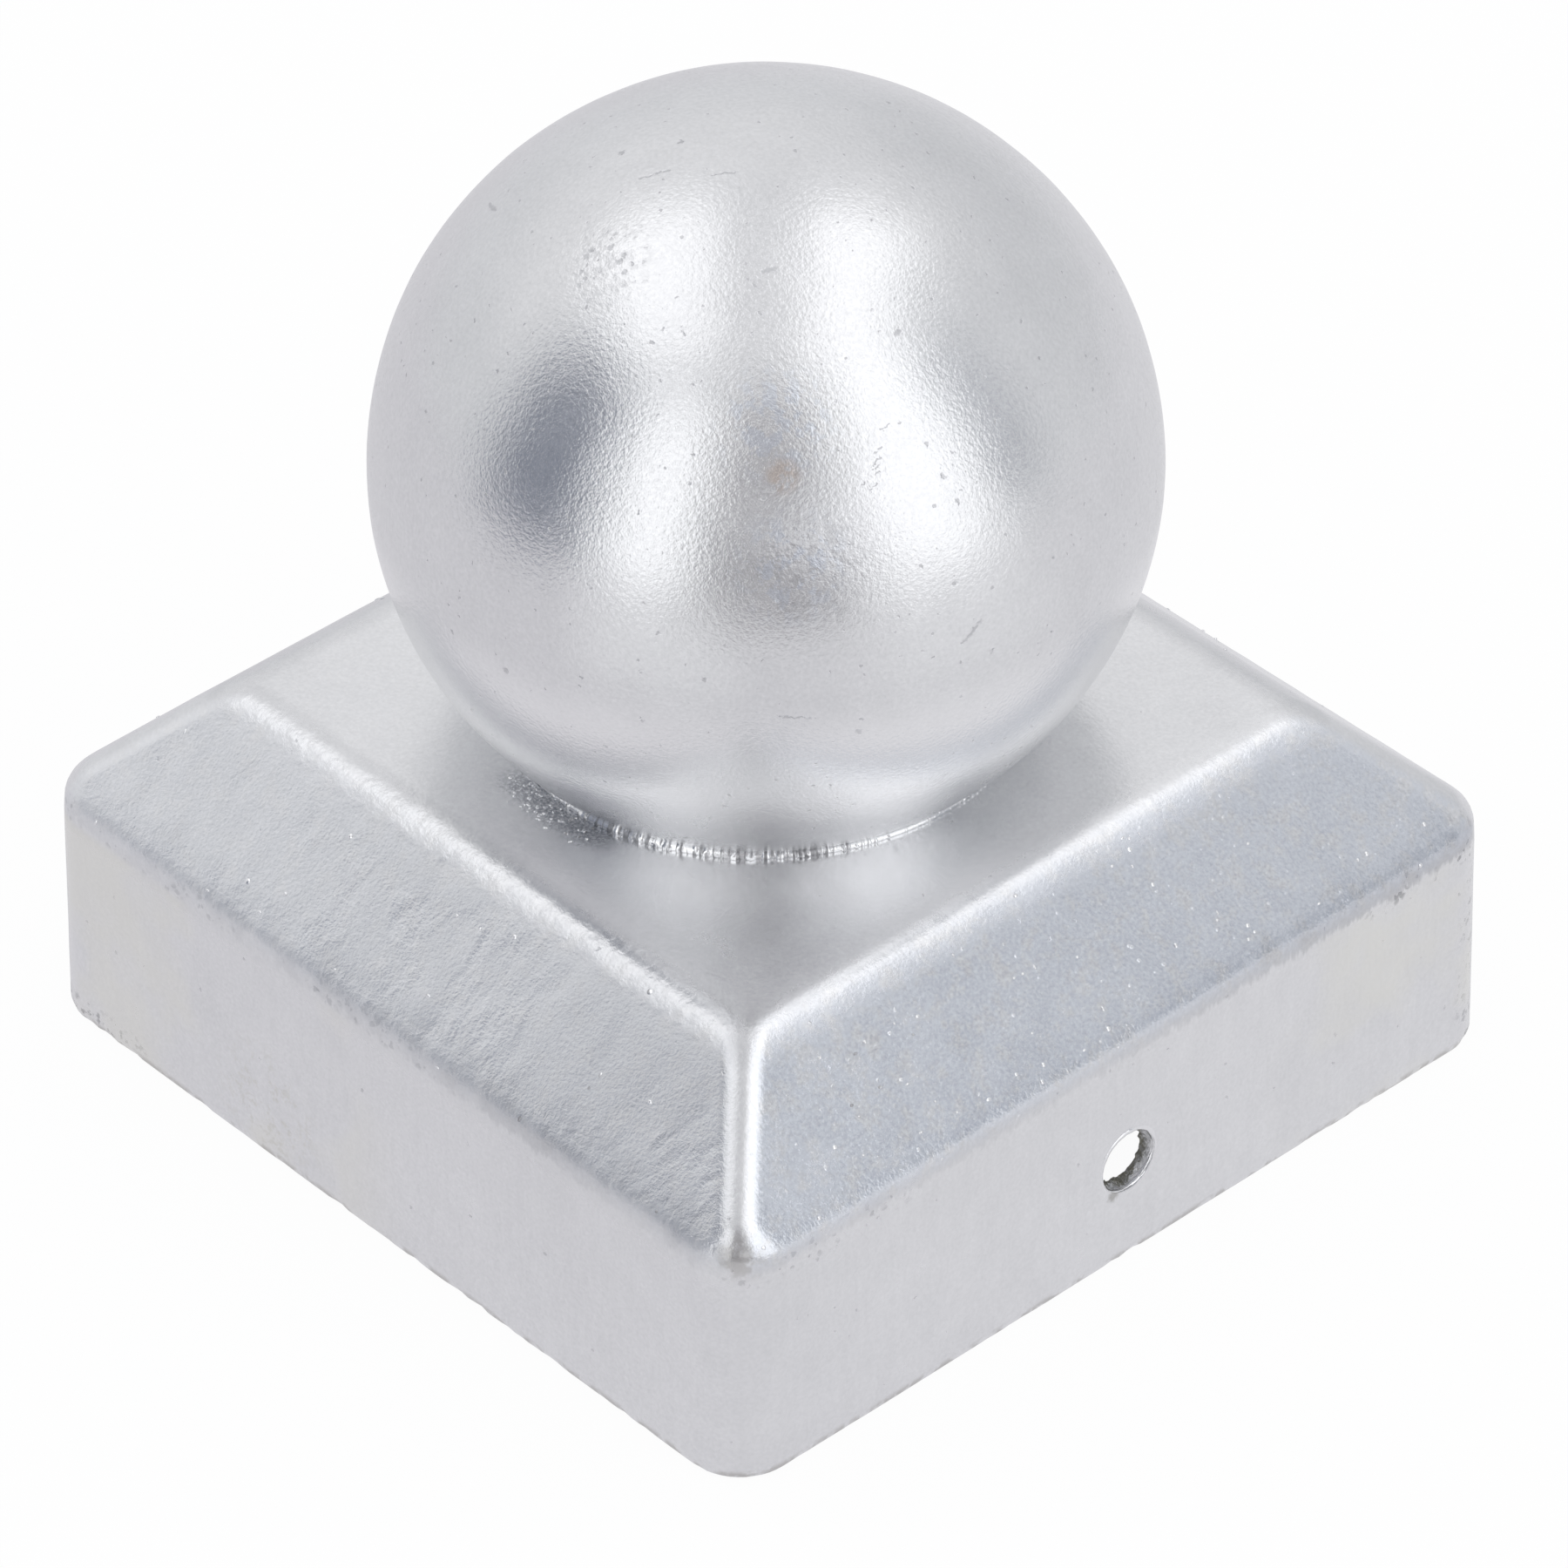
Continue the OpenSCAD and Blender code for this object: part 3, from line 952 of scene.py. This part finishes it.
def press_tree():
    tree, given = open_tree("pressed_cap", cap_values)
    bend = Wire.node(tree, "GeometryNodeInputRadius")
    sockets = {"Curve": given["Geometry"], "Count": FILLET_STEPS, "Radius": bend}
    profile = Wire.node(tree, "GeometryNodeFilletCurve", sockets, mode="POLY")
    steps = given["Side steps"] + given["Corner steps"]
    length = Wire.node(tree, "GeometryNodeCurveLength", {"Curve": profile})
    grid, around, along = grid_of(tree, steps * 4 + 1, length / given["Ring gap"])
    sockets = {"Curves": profile, "Factor": along}
    on_profile = Wire.node(tree, "GeometryNodeSampleCurve", sockets, "Position", mode="FACTOR")
    half, corner, height = on_profile.parts()

    quarter = around * 4
    face = quarter.math("FLOOR")
    within = quarter - face
    side_share = given["Side steps"] / steps
    along_side = (within / side_share).smallest(1.0) * 2 - 1
    round_corner = ((within - side_share) / (1 - side_share)).largest(0.0)
    face_turn = face * (pi / 2)
    turn = (face + round_corner) * (pi / 2)
    face_cos, face_sin = face_turn.math("COSINE"), face_turn.math("SINE")
    straight = half - corner
    x = (face_cos - face_sin * along_side) * straight + turn.math("COSINE") * corner
    y = (face_sin + face_cos * along_side) * straight + turn.math("SINE") * corner
    sheet = placed(grid, joined(x, y, height))
    sheet = Wire.node(tree, "GeometryNodeFlipFaces", {"Mesh": sheet})

    place = Wire.node(tree, "GeometryNodeInputPosition").in_mm()
    outward = Wire.node(tree, "GeometryNodeInputNormal")
    place_x, place_y, place_z = place.parts()
    on_left = place_z.window(*LEFT_RUNS) * (-place_y - place_x.size()).ramp(0.5, 3)
    runs = joined(place_x + drift(place), down_the_band(place_z) * 0.3, 0.0).noise(0.45, 2, 0.5)
    depth = place.noise(0.11, 2) * given["Wave depth"] + on_left * runs * given["Ripple depth"]
    on_edge = place_z.ramp(26.6, 27.8) * place_x.size().largest(place_y.size()).ramp(24.6, 25.8)
    on_bend = on_edge.largest(place_z.window(*ON_SHOULDER))
    depth += on_bend * place.noise(0.42, 2) * given["Edge depth"]
    depth += place_z.ramp(0.5, 0.2) * place.noise(0.5, 2).ramp(0.5, 0.75) * given["Nick depth"]
    sheet = waved(sheet, outward, depth)

    sockets = {"Vertices": DRILL_SIDES, "Side Segments": DRILL_RINGS, "Radius": given["Hole radius"]}
    drill = Wire.node(tree, "GeometryNodeMeshCylinder", {**sockets, "Depth": DRILL_LENGTH})
    lift = joined(0.0, 0.0, given["Hole height"])
    sockets = {"Geometry": drill, "Rotation": (0, pi / 2, 0), "Translation": lift}
    drill = Wire.node(tree, "GeometryNodeTransform", sockets)
    torn = place_x.size().ramp(*TORN_WALL)
    drill = waved(drill, outward, place.noise(1.9, 3).ramp(0.35, 0.65) * torn * MM)
    sockets = {"Mesh 1": sheet, "Mesh 2": drill}
    settings = {"operation": "DIFFERENCE", "solver": "MANIFOLD"}
    return finish_tree(Wire.node(tree, "GeometryNodeMeshBoolean", sockets, **settings), given)


pressed_cap_tree = press_tree()

# %% The cap's profile, and the cap
ZINC_ROOM = 0.06 * MM
RIM_Z = 0.05 * MM
RIM_BEND = 0.25 * MM
VENT_BEND = 0.3 * MM
HIP_FOOT_Z = 20.9 * MM
slope_angle = atan2(PANEL_Z - SKIRT_H, SLOPE_RUN)
outer_half = CAP_HALF - ZINC_ROOM
panel_half = outer_half - SLOPE_RUN
panel_top = PANEL_Z - ZINC_ROOM
slope_bend_half = panel_half + SLOPE_BEND_DOWN * cos(slope_angle)
slope_bend_drop = SLOPE_BEND_DOWN * sin(slope_angle)
panel_bend_half = slope_bend_half - slope_bend_drop / tan(PANEL_BEND_TURN)
hip_foot_half = outer_half - (HIP_FOOT_Z - SKIRT_H) / tan(slope_angle)
slope_foot_half = outer_half - SHOULDER_STEP * cos(slope_angle)
slope_foot_share = (outer_half - slope_foot_half) / (outer_half - hip_foot_half)
slope_foot_corner = CORNER_R + (HIP_R - CORNER_R) * slope_foot_share
inner_shoulder_drop = SHEET_T * tan((pi / 2 - slope_angle) / 2)
inner_panel_half = CAP_HALF - SLOPE_RUN - SHEET_T * tan(slope_angle / 2)
inner_panel_z = PANEL_Z - SHEET_T
inner_corner = CORNER_R - SHEET_T
cap_profile = [
    (VENT_R, VENT_R, panel_top, VENT_BEND),
    (panel_bend_half, HIP_R, panel_top, PANEL_BEND_R),
    (slope_bend_half, HIP_R, panel_top - slope_bend_drop, SLOPE_BEND_R),
    (hip_foot_half, HIP_R, HIP_FOOT_Z, 0),
    (slope_foot_half, slope_foot_corner, SKIRT_H + SHOULDER_STEP * sin(slope_angle), SLOPE_FOOT_R),
    (outer_half, CORNER_R, SKIRT_H - SHOULDER_STEP, SKIRT_TOP_R),
    (RIM_HALF - ZINC_ROOM, CORNER_R, RIM_Z, RIM_BEND),
    (RIM_HALF - SHEET_T, inner_corner, RIM_Z, RIM_BEND),
    (CAP_HALF - SHEET_T, inner_corner, SKIRT_H - inner_shoulder_drop, SHOULDER_R - SHEET_T),
    (inner_panel_half, HIP_R - SHEET_T / 2, inner_panel_z, PANEL_BEND_R),
    (VENT_R, VENT_R, inner_panel_z, VENT_BEND),
]
cap_curve = profile_curve("cap_profile", cap_profile, True)
zinc_cap = run_tree("zinc_cap", pressed_cap_tree, cap_curve, cap_values)

# %% [markdown]
# ## The ball
# Two pressed half shells and the weld between them. All three are turned from a profile about the ball's
# axis by one tree, and share one field of zinc waves, measured outward from the ball's centre, so that the
# ground weld doesn't show from outside, as it doesn't on the real ball. The real ball isn't quite round
# either: its lower half draws in towards the foot, a little more on the photo's right.

# %% Tree of a turned shell
DRAW_IN = 0.75 * MM
LEAN = 0.3 * MM
LEAN_TURN = CAMERA_AZIMUTH
ball_values = {
    "Turn steps": 300,
    "Wave depth": 0.10 * MM,
    "Centre height": BALL_Z,
    "Foot drop": -FOOT_DEPTH,
    "Draw in": DRAW_IN,
    "Lean": LEAN,
    "Lean direction": LEAN_TURN,
    "Zinc": ball_zinc,
}


def turn_tree():
    tree, given = open_tree("turned_shell", ball_values)
    sockets = {"Geometry": given["Geometry"]}
    rings = Wire.node(tree, "GeometryNodeAttributeDomainSize", sockets, "Point Count", component="CURVE")
    grid, around, along = grid_of(tree, given["Turn steps"] + 1, rings)
    position = Wire.node(tree, "GeometryNodeInputPosition")
    ring = along * (rings - 1) + 0.5
    sockets = {"Geometry": given["Geometry"], "Value": position, "Index": ring.math("FLOOR")}
    settings = {"data_type": "FLOAT_VECTOR", "domain": "POINT"}
    radius, _, height = Wire.node(tree, "GeometryNodeSampleIndex", sockets, **settings).parts()
    turn = around * (2 * pi)
    shell = placed(grid, joined(turn.math("COSINE") * radius, turn.math("SINE") * radius, height))
    centre = joined(0.0, 0.0, given["Centre height"])
    outward = position.vector("SUBTRACT", centre).vector("NORMALIZE")
    shell = waved(shell, outward, position.in_mm().noise(0.14, 2) * given["Wave depth"])
    x, y, z = position.parts()
    below = ((given["Centre height"] - z) / given["Foot drop"]).largest(0.0)
    aside = turned_aside(position, given["Lean direction"])
    drawn_in = below * below * (given["Draw in"] + given["Lean"] * aside.math("COSINE"))
    level_out = joined(x, y, 0.0).vector("NORMALIZE")
    return finish_tree(waved(shell, level_out, drawn_in), given)


turned_shell_tree = turn_tree()

# %% The half shells and their weld
ARC_STEP = radians(1.2)
INNER_R = BALL_R - BALL_SHEET_T
SEAM_INNER_R = INNER_R - SEAM_ROOT


def arc(radius, start, end):
    """Points of an arc about the ball's centre, between two heights above that centre."""
    first, last = asin(start / radius), asin(end / radius)
    count = max(2, round(abs(last - first) / ARC_STEP))
    angles = [first + (last - first) * step / count for step in range(count + 1)]
    return [(radius * cos(angle), 0, BALL_Z + radius * sin(angle), 0) for angle in angles]


dome_profile = arc(INNER_R, INNER_R, SEAM_HALF) + arc(BALL_R, SEAM_HALF, BALL_R)
bowl_profile = arc(INNER_R, -SEAM_HALF, FOOT_DEPTH) + arc(BALL_R, FOOT_DEPTH, -SEAM_HALF)
seam_profile = arc(SEAM_INNER_R, SEAM_HALF, -SEAM_HALF) + arc(BALL_R, -SEAM_HALF, SEAM_HALF)
# The dome's profile starts and ends on the axis, and the other two close on themselves
ball_shapes = {
    "ball_dome": (dome_profile, "ball_upper_half"),
    "ball_bowl": (bowl_profile + bowl_profile[:1], "ball_lower_half"),
    "ball_ground_weld": (seam_profile + seam_profile[:1], "ball_seam_weld"),
}
ball_pieces = {}
for shape_name, (shape, node) in ball_shapes.items():
    curve = profile_curve(shape_name, shape, False)
    ball_pieces[node] = run_tree(shape_name, turned_shell_tree, curve, ball_values)

# %% [markdown]
# ## The foot weld
# The welder ran a bead round the foot of the ball. Its ripples repeat along a circle, so they are small
# lumps placed along that path, over a thin bead that fills the wedge between ball and panel. On the left
# the welder went slowly, and the lumps are large with gaps between them; in front they are fine and close,
# and on the right the bead is thin.

# %% Tree of the weld bead
PATH_STEPS = 720
BEAD_STEPS = 10
LUMP_LEAST = (0.7, 0.6, 0.6)
LUMP_MOST = (1.25, 1.15, 1.1)
weld_values = {
    "Path radius": FOOT_R - DRAW_IN + 0.25 * MM,
    "Path height": PANEL_Z + 0.06 * MM,
    "Lean": LEAN,
    "Lean direction": LEAN_TURN,
    "Bead radius": 0.5 * MM,
    "Ripples": 240,
    "Ripple size": 0.62 * MM,
    "Slow direction": radians(-66),
    "Fine direction": radians(-30),
    "Thin direction": radians(52),
    "Seed": 5,
    "Zinc": weld_zinc,
}


def weld_tree():
    tree, given = open_tree("weld_bead", weld_values)
    lean_turn = given["Lean direction"]
    lean_x = given["Lean"] * lean_turn.math("COSINE")
    lean_y = given["Lean"] * lean_turn.math("SINE")
    path = shifted(circle(PATH_STEPS, given["Path radius"]), joined(-lean_x, -lean_y, given["Path height"]))
    place = Wire.node(tree, "GeometryNodeInputPosition")
    slow = turned_aside(place, given["Slow direction"]).within(28, 16)
    fine = turned_aside(place, given["Fine direction"]).within(18, 8)
    thin = turned_aside(place, given["Thin direction"]).within(80, 64)
    swell = place.in_mm().noise(0.3, 3) * 0.4 + 0.35 + slow * 0.3 - thin * 0.2
    bead = bead_along(path, BEAD_STEPS, given["Bead radius"], swell)

    sockets = {"Curve": path, "Count": given["Ripples"]}
    points = Wire.node(tree, "GeometryNodeCurveToPoints", sockets, mode="COUNT")
    odd = Wire.node(tree, "GeometryNodeInputIndex").math("MODULO", 2.0)
    kept = (1 - odd * slow).math("GREATER_THAN", 0.5)
    size = random_size(LUMP_LEAST, LUMP_MOST, given["Seed"])
    size = size.vector("SCALE", 0.5 + fine * 0.1 + slow * 0.45 - thin * 0.12)
    sockets = {"Points": points, "Selection": kept, "Instance": lump(given["Ripple size"]), "Scale": size}
    lumps = Wire.node(tree, "GeometryNodeInstanceOnPoints", sockets)
    both = Wire.node(tree, "GeometryNodeJoinGeometry", {"Geometry": [bead, lumps]})
    return finish_tree(both, given)


foot_weld = run_tree("foot_weld", weld_tree(), bpy.data.meshes.new("weld_seed"), weld_values)

# %% [markdown]
# ## Dross
# Molten zinc carries grains of dross, which stay on the metal as pimples, and welding throws spatter. Both
# are small lumps on the cap's own surface, so one tree scatters flat lumps over the pressed cap, inside a
# window of height, direction and distance from the axis. Pimples sit mostly on the right band, spatter at
# the left end of the weld.

# %% Tree of scattered lumps
# Each set: lumps in a square mm, radius in mm, heights, direction, half angle, distances from the axis, seed
LUMP_SETS = {
    "dross_pimples": (0.12, 0.19, 18.9, 28.2, 0, 46, 26, 52, 3),
    "dross_pimples_around": (0.035, 0.22, 18.9, 28.2, 180, 135, 26, 52, 4),
    "weld_spatter": (4.5, 0.19, 28.2, 29.5, FLUX_TURN, 17, 18.4, 21.4, 6),
}
PIMPLE_LEAST = (0.4, 0.4, 0.25)
PIMPLE_MOST = (1.1, 1.1, 0.6)


def lump_values(density, radius, low, high, towards, half_angle, near, far, seed):
    """The inputs of the tree, from one row of the table."""
    return {
        "Lumps per square mm": density,
        "Lump radius": radius * MM,
        "Low height": low * MM,
        "High height": high * MM,
        "Direction": radians(towards),
        "Half angle": radians(half_angle),
        "Near": near * MM,
        "Far": far * MM,
        "Seed": seed,
        "Zinc": weld_zinc,
    }


def scatter_tree():
    tree, given = open_tree("zinc_lumps", lump_values(*LUMP_SETS["dross_pimples"]))
    place = Wire.node(tree, "GeometryNodeInputPosition")
    x, y, z = place.parts()
    outward = Wire.node(tree, "GeometryNodeInputNormal")
    reach = joined(x, y, 0.0).vector("LENGTH")
    within = outward.vector("DOT_PRODUCT", joined(x, y, MM)).math("GREATER_THAN", 0.0)
    for low, value, high in (("Low height", z, "High height"), ("Near", reach, "Far")):
        within *= value.math("GREATER_THAN", given[low]) * value.math("LESS_THAN", given[high])
    aside = turned_aside(place, given["Direction"]).size()
    within *= ((given["Half angle"] - aside) * 6).largest(0.0).smallest(1.0)
    clumps = place.in_mm().noise(0.16, 2).ramp(0.4, 0.65, 0.25, 1.0)
    density = within * clumps * given["Lumps per square mm"] / MM ** 2
    sockets = {"Mesh": given["Geometry"], "Density": density, "Seed": given["Seed"]}
    points = Wire.node(tree, "GeometryNodeDistributePointsOnFaces", sockets)
    size = random_size(PIMPLE_LEAST, PIMPLE_MOST, given["Seed"])
    sockets = {"Points": points, "Instance": lump(given["Lump radius"]), "Scale": size}
    sockets["Rotation"] = points.other("Rotation")
    return finish_tree(Wire.node(tree, "GeometryNodeInstanceOnPoints", sockets), given)


zinc_lumps_tree = scatter_tree()

# %% Pimples and spatter
lump_pieces = []
for set_name, row in LUMP_SETS.items():
    lump_pieces.append(run_tree(set_name, zinc_lumps_tree, zinc_cap.data.copy(), lump_values(*row)))

# %% [markdown]
# ## Lips of the screw holes
# Punching a hole leaves a lip, and the zinc made it round and uneven. A bead follows the hole's circle,
# with its thickness from noise.

# %% Tree of a hole's lip
LIP_STEPS = 96
LIP_BEAD_STEPS = 12
lip_values = {
    "Path radius": HOLE_R + 0.24 * MM,
    "Height": HOLE_Z,
    "Reach": RIM_HALF - 0.45 * MM,
    "Bead radius": 0.26 * MM,
    "Zinc": weld_zinc,
}


def lip_tree():
    tree, given = open_tree("hole_lip", lip_values)
    place = Wire.node(tree, "GeometryNodeInputPosition").in_mm()
    swell = place.noise(0.9, 2) * 0.9 + 0.45
    ring = bead_along(circle(LIP_STEPS, given["Path radius"]), LIP_BEAD_STEPS, given["Bead radius"], swell)
    both = []
    for side in (1.0, -1.0):
        move = joined(given["Reach"] * side, 0.0, given["Height"])
        sockets = {"Geometry": ring, "Translation": move, "Rotation": (0, side * pi / 2, 0)}
        both.append(Wire.node(tree, "GeometryNodeTransform", sockets))
    return finish_tree(Wire.node(tree, "GeometryNodeJoinGeometry", {"Geometry": both}), given)


hole_lips = run_tree("screw_hole_lips", lip_tree(), bpy.data.meshes.new("lip_seed"), lip_values)

# %% [markdown]
# ## Hand over
# Each piece rides on the one body, and the construction node that it stands for is hidden.

# %% Ride and replace
shown = [(zinc_cap, "post_cap_shell"), (foot_weld, "foot_weld_bead"), (hole_lips, "post_cap_shell")]
shown += [(piece, node) for node, piece in ball_pieces.items()]
shown += [(piece, "post_cap_shell") for piece in lump_pieces]
for piece, node in shown:
    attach(piece, "root")
    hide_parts(node)
